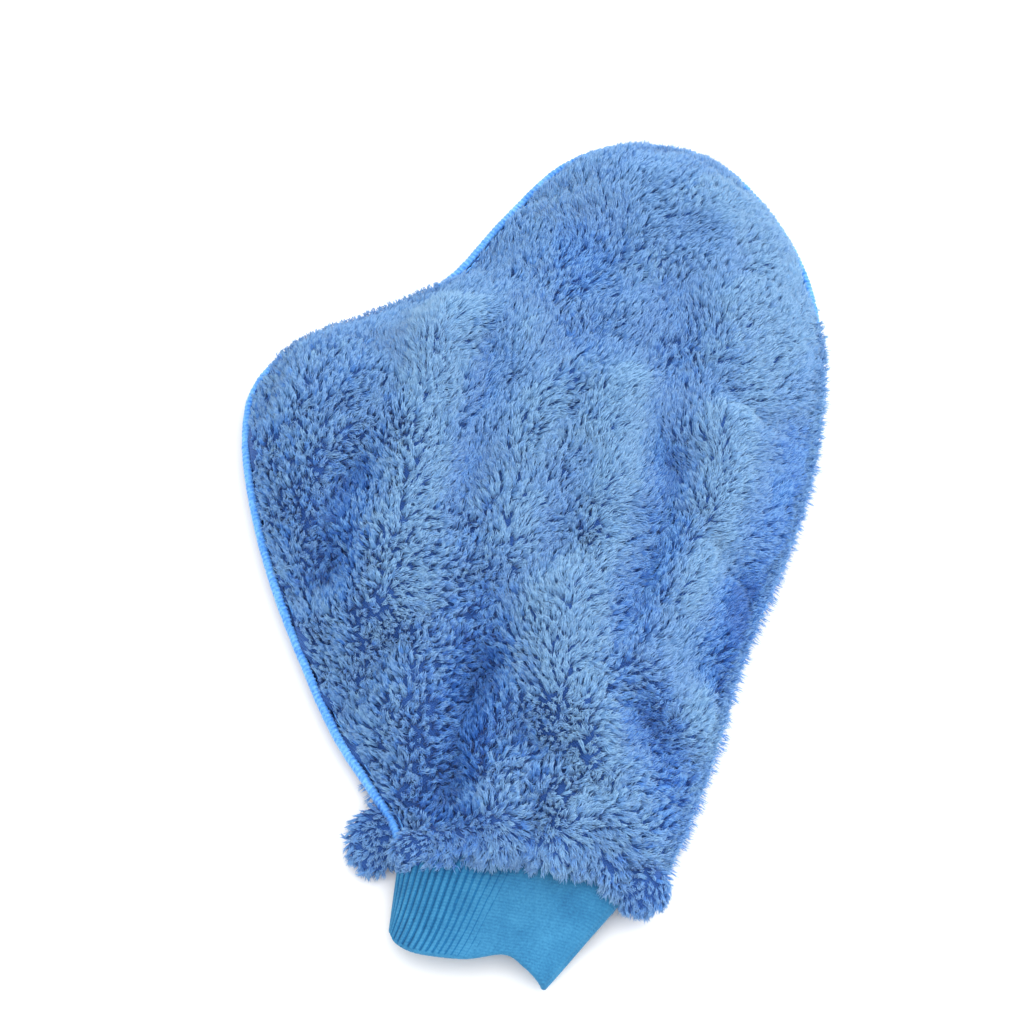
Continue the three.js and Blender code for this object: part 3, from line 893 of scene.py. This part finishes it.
# The back panel bulges over the cuff between its gathers, puffs up as cloth and rolls under at its lip.
back_xy, back_across = plan_grid(3.0 * MM, ROWS, COLS, ROLL_START)
near_mouth = 1 - smooth(0, 16 * MM, back_xy[..., 1] - MOUTH_Y)
back_xy = back_xy.copy()
back_xy[..., 1] -= 1.8 * MM * pleats(back_xy, back_across) * near_mouth
back_pts = np.concatenate([back_xy, back_height(back_xy, back_across)[..., None]], -1).reshape(-1, 3)
row = np.arange(len(back_pts)) // (COLS + 1)
col = np.arange(len(back_pts)) % (COLS + 1)
fixed = (row < 2) | (row == ROWS) | (col == 0) | (col == COLS)
back_pts = relax(back_pts, ROWS, COLS, fixed, 4 * MM)


def roll_lip():
    """Rows that turn the panel's mouth edge down and under, from the tucked edge up to the first row."""
    first = back_pts[: COLS + 1]
    radius = np.clip((first[:, 2] - 7.6 * MM) / 1.87, 0.5 * MM, 3.4 * MM)
    lip = []
    for turn in np.linspace(ROLL_TURN, 0, ROLL_STEPS + 1)[:-1]:
        step = np.stack([0 * radius, -radius * math.sin(turn), -radius * (1 - math.cos(turn))], 1)
        lip.append(first + step)
    return np.concatenate(lip)


back_all = np.concatenate([roll_lip(), back_pts])
ALL_ROWS = ROWS + ROLL_STEPS
all_across = np.concatenate([np.tile(back_across[0], ROLL_STEPS), back_across.reshape(-1)])
back_quads = grid_faces(ALL_ROWS, COLS)

PALM_ROWS, PALM_COLS = 60, 48
PALM_THICK = 1.0 * MM
palm_xy, _ = plan_grid(2.2 * MM, PALM_ROWS, PALM_COLS, 1.5 * MM)
palm_pts = np.concatenate([palm_xy, np.full(palm_xy.shape[:2] + (1,), PALM[1].z)], -1).reshape(-1, 3)
palm_quads = grid_faces(PALM_ROWS, PALM_COLS)

back_knit = sheet_mesh("back_ground_knit_cloth", back_all, ALL_ROWS, COLS, 0.8 * MM, [GROUND_KNIT_WITH_PAINTED_SHADE])
palm_knit = sheet_mesh("palm_ground_knit_cloth", palm_pts, PALM_ROWS, PALM_COLS, PALM_THICK, [GROUND_KNIT_WITH_PAINTED_SHADE])
belongs(back_knit, "back_ground_knit")
belongs(palm_knit, "palm_ground_knit")

RNG = np.random.default_rng(31)
plant("back_pile", "back_pile", back_tufts(back_all, back_quads, all_across, RNG), RNG, BACK_FIBRES)
plant("back_fringe", "back_pile", fringe_tufts(RNG), RNG, FRINGE_FIBRES)
palm_face = palm_pts - np.array([0, 0, PALM_THICK])
plant("palm_pile", "palm_pile", palm_tufts(palm_face, palm_quads, RNG), RNG, PALM_FIBRES)

# Rounded folds where the panels bulge at the mouth: centre and radii in mm, and which way the pile lies.
for label, node, centre, radii, nap in (
    ("palm_fold", "palm_pile", (-46, 11, 4.8), (8, 11, 3.4), (-0.3, -0.9, 0)),
    ("thumb_side_fold", "back_pile", (-29, 5, 13.5), (10, 7, 5.5), (-0.3, -1, 0)),
    ("back_fold", "back_pile", (37, 4, 12.0), (8, 8, 6), (0.3, -1, 0)),
):
    lump, lump_quads, lump_fans = egg(centre, radii)
    core = poly_mesh(f"{label}_knit", lump, [lump_quads, lump_fans], [GROUND_KNIT_WITH_PAINTED_SHADE])
    belongs(core, node.replace("pile", "ground_knit"))
    plant(label, node, lobe_tufts(lump, lump_quads, lump_fans, nap, RNG), RNG, LUMP_FIBRES)

# ---- edging and stitches


def tubes(name, paths, ref, radius, sides, materials):
    """Many short threads as one mesh. paths is threads by points by 3, and ref points across each of them."""
    n, k, _ = paths.shape
    way = unit(np.gradient(paths, axis=1))
    u = unit(ref - (ref * way).sum(-1, keepdims=True) * way)
    v = np.cross(way, u)
    a = np.linspace(0, TAU, sides, endpoint=False)
    r = np.broadcast_to(radius, (n, k))[..., None, None]
    spoke = np.cos(a)[:, None] * u[:, :, None] + np.sin(a)[:, None] * v[:, :, None]
    rings = paths[:, :, None] + r * spoke
    base = k * sides * np.arange(n)[:, None, None]
    walls = (ring_faces(k, sides)[None] + base).reshape(-1, 4)
    groups = [walls, (end_faces(k, sides)[None] + base).reshape(-1, sides)]
    return poly_mesh(name, rings.reshape(-1, 3), groups, materials)


EDGE_HALF = 1.6 * MM
EDGE_TALL = (EDGE[1].z - EDGE[0].z) / 2 - 0.1 * MM
LOOP_PITCH = 1.5 * MM


def edge_core():
    """The bundle of thread along the sewn edge, squarish in section, under the loops."""
    rings, sides, squareness, loop_room = 620, 16, 0.8, 0.5 * MM
    length = along_edge(EDGE_HALF, np.zeros(1))[3]
    place, _, out, _ = along_edge(EDGE_HALF, np.linspace(0, length, rings))
    turn = np.linspace(0, TAU, sides, endpoint=False)
    c, s = np.cos(turn), np.sin(turn)
    flat = (EDGE_HALF - loop_room) * np.sign(c) * np.abs(c) ** squareness
    tall = (EDGE_TALL - loop_room) * np.sign(s) * np.abs(s) ** squareness
    xy = place[:, None] + out[:, None] * flat[:, None]
    z = np.broadcast_to(SEAM_Z + tall[:, None], (rings, sides, 1))
    groups = [ring_faces(rings, sides), end_faces(rings, sides)]
    core = poly_mesh("edge_overlock_core", np.concatenate([xy, z], -1), groups, [EDGING])
    belongs(core, "edge_overlock")


def edge_loops():
    """Slanting loops of looper thread, each wrapped round the edge from face to face."""
    rng = np.random.default_rng(41)
    points, thread = 11, 0.56 * MM
    length = along_edge(EDGE_HALF, np.zeros(1))[3]
    count = int(length / LOOP_PITCH)
    turn = np.linspace(math.radians(158), math.radians(-158), points)
    along = (np.arange(count) + 0.5)[:, None] * LOOP_PITCH + rng.normal(0, 0.10 * MM, (count, 1))
    along = along + 0.75 * MM * np.sin(turn)[None] + 0.25 * MM * np.cos(2 * turn)[None]
    place, way, out, _ = along_edge(EDGE_HALF, np.clip(along, 0, length))
    swell = 1 + rng.normal(0, 0.03, (count, 1))
    flat = (EDGE_HALF - 0.45 * MM) * np.cos(turn)[None] * swell
    tall = (EDGE_TALL - 0.45 * MM) * np.sin(turn)[None] * swell
    paths = np.concatenate([place + out * flat[..., None], (SEAM_Z + tall)[..., None]], -1)
    ref = np.concatenate([way, np.zeros(way.shape[:2] + (1,))], -1)
    taper = thread * np.clip(1.25 - np.abs(np.linspace(-1, 1, points)) ** 4, 0.5, 1)
    loops = tubes("edge_overlock_loops", paths, ref, taper[None], 6, [EDGING])
    belongs(loops, "edge_overlock")


def needle_line():
    """The row of short stitches that holds the edging, each dipping into the cloth at both ends."""
    inset, pitch, half = 3.7 * MM, 2.6 * MM, 1.25 * MM
    length = along_edge(inset, np.zeros(1))[3]
    count = int(length / pitch)
    t = np.linspace(-1, 1, 7)
    at = (np.arange(count) + 0.5)[:, None] * pitch + half * t[None]
    place = along_edge(inset, np.clip(at, 0, length))[0]
    tall = KNIT[0].z + 1.1 * MM + (0.35 - 0.7 * t**4) * MM
    paths = np.concatenate([place, np.broadcast_to(tall[None, :, None], (count, len(t), 1))], -1)
    ref = np.broadcast_to(np.array([0.0, 0, 1]), paths.shape)
    stitches = tubes("edge_needle_stitches", paths, ref, 0.3 * MM, 6, [STITCH])
    belongs(stitches, "edge_needle_thread")


edge_core()
edge_loops()
needle_line()

# ---- the cuff

# The cuff's two ends in plan, in mm from ORIGIN: where it is sewn under the lip, and its hem's wavy fold.
CUFF_SEWN = [(-37.5, 10), (-20, 10), (0, 9.5), (20, 9), (37.5, 8)]
CUFF_HEM = [(-36.6, -18.5), (-34, -23.6), (-26, -27), (-12, -26.4), (0, -23), (7, -26), (13.6, -30)]
CUFF_RIBS = 62
AROUND = CUFF_RIBS * 12
# Thickness of one ply of rib knit, and of the two plies with the seam's room between them.
CUFF_PLY = 0.95 * MM
CUFF_WALL = 2.3 * MM


def cuff_line(points):
    """A smooth line through points of the cuff's plan, with each point's share of the way across."""
    share = np.linspace(0, 1, 201)
    line = catmull(np.array(points, float) * MM + np.array([ORIGIN[0], MOUTH_Y]), len(share))
    return share, line


def cuff_point(u, v, face):
    """Where the cuff is at u across, v from sewn end to hem, on its upper (1) or lower (-1) face."""
    share, sewn = cuff_line(CUFF_SEWN)
    _, hem = cuff_line(CUFF_HEM)
    set_back = np.where(face > 0, 0, 6.4 * MM) * np.sin(math.pi * np.clip(u, 0, 1)) ** 0.5
    set_back = smooth(0.4, 1.0, v) * set_back
    xy = mix(read_off(u, share, sewn), read_off(u, share, hem), v[..., None])
    xy = xy + np.stack([0 * set_back, set_back], -1)
    roundness = mix(1.1, 0.55, smooth(0, 0.3, v))
    full = np.clip(1 - np.abs(2 * u - 1) ** 2.4, 0, 1) ** roundness
    side = mix(11.0, 4.6, v)
    top = mix(22.0, 14.0, smooth(0, 1, v)) + 1.2 * np.sin(TAU * (1.15 * u + 0.1)) * v
    low = mix(8.9, 2.8, v)
    z = np.where(face > 0, mix(side, top, full), mix(side, low, full)) * MM
    return np.concatenate([xy, z[..., None]], -1)


def cuff_ring(v):
    """The cuff's closed section at v, as AROUND points an even distance apart."""
    count = 400
    u = 0.5 - 0.5 * np.cos(np.linspace(0, math.pi, count))
    upper = cuff_point(u, np.full(count, v), np.ones(count))
    lower = cuff_point(u[::-1], np.full(count, v), -np.ones(count))
    loop = np.concatenate([upper, lower[1:]])
    return even(loop, AROUND + 1)[:-1]


def way_round(rings, axis):
    """Which way closed rings run at each of their points."""
    return unit(np.roll(rings, -1, axis=axis) - np.roll(rings, 1, axis=axis))


def cuff_ribs(levels):
    """How high the rib stands at each point, from 0 to 1, and how strongly ribs show there."""
    share = np.arange(AROUND) / AROUND
    across = np.minimum(share * 2, 2 - share * 2)
    wander = 0.35 * np.sin(levels[:, None] * 5 + share[None] * 40)
    rib = np.clip(0.5 + 0.5 * np.cos(TAU * CUFF_RIBS * share[None] + wander), 0, 1) ** 0.45
    stretched = mix(1.0, 0.22, smooth(0.15, 0.62, across))
    gathered = mix(0.75, 1.0, smooth(0, 0.3, levels))
    return rib, stretched[None] * gathered[:, None]


def cuff_layers(outer, normal, flow, rise):
    """Every ring of the folded cuff: down its outer face, round the hem, up inside and back between."""
    rows = len(outer)
    hem, hem_normal, hem_flow = outer[-1], normal[-1], flow[-1]
    layers = [outer[i] + normal[i] * rise[i] for i in range(rows)]
    bend = CUFF_WALL / 2
    for turn in np.linspace(0, math.pi, 9)[1:-1]:
        fold = hem - hem_normal * bend + hem_normal * math.cos(turn) * (bend + rise[-1])
        layers.append(fold + hem_flow * math.sin(turn) * bend * 1.05)
    inner_rows = list(range(rows - 1, -1, -2))
    layers += [outer[i] - normal[i] * CUFF_WALL for i in inner_rows]
    layers += [outer[i] - normal[i] * (CUFF_WALL - CUFF_PLY) for i in inner_rows[::-1]]
    inner_bend = CUFF_WALL / 2 - CUFF_PLY
    for turn in np.linspace(math.pi, 0, 5)[1:-1]:
        fold = hem - hem_normal * (CUFF_WALL / 2 - math.cos(turn) * inner_bend)
        layers.append(fold + hem_flow * math.sin(turn) * inner_bend)
    layers += [outer[i] - normal[i] * CUFF_PLY for i in inner_rows]
    return np.stack(layers)


def cuff():
    """The rib-knit tube, folded double at its hem, with its ribs deep by the thumb and flat opposite, and
    painted shade on the deep ribs' flanks and in their grooves.
    """
    levels = np.concatenate([np.linspace(0, 0.9, 26), np.linspace(0.92, 1, 6)])
    outer = np.stack([cuff_ring(v) for v in levels])
    flow = unit(np.gradient(outer, axis=0))
    ring_way = way_round(outer, 1)
    normal = unit(np.cross(ring_way, flow))
    sign = 1.0 if normal[:, : AROUND // 2, 2].mean() > 0 else -1.0
    normal = normal * sign
    rib, strength = cuff_ribs(levels)
    rise = (0.75 * MM * (rib - 0.6) * strength)[..., None]
    verts = cuff_layers(outer, normal, flow, rise)
    k = len(verts)
    quads = ring_faces(k + 1, AROUND) % (k * AROUND)
    if sign < 0:
        quads = quads[:, ::-1]
    depth = (1 - rib) * strength
    # Painted shade where the ribs stand deep: the darker copy on their flanks, the darkest in their grooves.
    shade = np.zeros((k, AROUND), int)
    shade[: len(levels)] = (depth > 0.24).astype(int) + (depth > 0.6)
    materials = [RIB, RIB_PAINTED_SHADE, RIB_GROOVE_PAINTED_SHADE]
    tube = poly_mesh("rib_cuff_cloth", verts.reshape(-1, 3), [quads], materials, shade.reshape(-1))
    belongs(tube, "rib_cuff")
    return outer, normal


cuff_rows, cuff_normals = cuff()


def cuff_side_seam():
    """The zigzag seam that closes the cuff strip, up its underside, between its plies."""
    column = int(AROUND * 0.64)
    middle = cuff_rows[1:-3, column] - cuff_normals[1:-3, column] * CUFF_WALL / 2
    line = even(middle, 60)
    way = unit(np.gradient(line, axis=0))
    side = unit(np.cross(way, cuff_normals[5, column]))
    t = np.linspace(-1, 1, 7)[None, :, None]
    zigzag = line[:, None] + side[:, None] * (1.6 * MM * t) + way[:, None] * (0.35 * MM * t)
    ref = np.broadcast_to(way[:, None], zigzag.shape)
    seam = tubes("cuff_side_seam_stitches", zigzag, ref, 0.17 * MM, 6, [STITCH])
    belongs(seam, "cuff_side_seam")


def cuff_join_seam():
    """The ring of loops that joins the cuff to the pouch, hidden under the lip."""
    ring = even(np.vstack([cuff_rows[0], cuff_rows[0][:1]]), 201)[:-1]
    way = way_round(ring, 0)
    out = unit(np.cross(way, np.array([0.0, -1, 0])))
    out = out * np.sign((out * (ring - ring.mean(0))).sum())
    turn = np.linspace(0, TAU, 13)[:-1][None, :, None]
    toward_tip = np.array([0.0, 1, 0])
    loop = ring[:, None] - out[:, None] * 1.2 * MM + toward_tip * (1.5 * MM * np.sin(turn))
    loop = loop + out[:, None] * (1.0 * MM * np.cos(turn)) + way[:, None] * (0.6 * MM * turn / TAU)
    ref = np.broadcast_to(way[:, None], loop.shape)
    join = tubes("cuff_join_overlock", loop, ref, 0.5 * MM, 6, [STITCH])
    belongs(join, "cuff_join_seam")


cuff_side_seam()
cuff_join_seam()

# ---- stage

FLOOR_HALF = 4
floor_mat = new_material("studio_floor", colour(250, 250, 250), 0.9, specular=0.1)[0]
corners = [(FLOOR_HALF * x, FLOOR_HALF * y, 0) for x, y in ((-1, -1), (1, -1), (1, 1), (-1, 1))]
floor = poly_mesh("floor", corners, [np.array([[0, 1, 2, 3]])], [floor_mat], smooth_faces=False)

world = bpy.data.worlds.new("studio")
bpy.context.scene.world = world
world.use_nodes = True
sky = world.node_tree.nodes["Background"]
sky.inputs["Color"].default_value = (1.0, 1.0, 1.0, 1)
sky.inputs["Strength"].default_value = 0.95


def area_light(name, place, target, size, power):
    """A soft lamp at place, aimed at target."""
    data = bpy.data.lights.new(name, "AREA")
    data.shape = "RECTANGLE"
    data.size, data.size_y = size
    data.energy = power
    lamp = bpy.data.objects.new(name, data)
    lamp.location = place
    lamp.rotation_euler = (Vector(target) - Vector(place)).to_track_quat("-Z", "Y").to_euler()
    bpy.context.scene.collection.objects.link(lamp)


area_light("key", (0.85, 0.75, 0.80), (0, 0, 0.02), (0.9, 0.9), 11.0)
area_light("top", (0.1, -0.45, 1.3), (0, 0, 0), (1.4, 1.4), 14.0)

CAMERA_AZIMUTH = math.radians(9)
CAMERA_ELEVATION = math.radians(60.5)
CAMERA_DISTANCE = 1.44
LENS = 160
low, high = CAD_BOX
middle = (low + high) / 2
camera_data = bpy.data.cameras.new("camera")
camera_data.lens = LENS
camera = bpy.data.objects.new("camera", camera_data)
back = Vector(
    (
        math.sin(CAMERA_AZIMUTH) * math.cos(CAMERA_ELEVATION),
        -math.cos(CAMERA_AZIMUTH) * math.cos(CAMERA_ELEVATION),
        math.sin(CAMERA_ELEVATION),
    )
)
camera.location = middle + back * CAMERA_DISTANCE
camera.rotation_euler = (-back).to_track_quat("-Z", "Y").to_euler()
bpy.context.scene.collection.objects.link(camera)
bpy.context.scene.camera = camera
bpy.context.scene.view_settings.view_transform = "Standard"
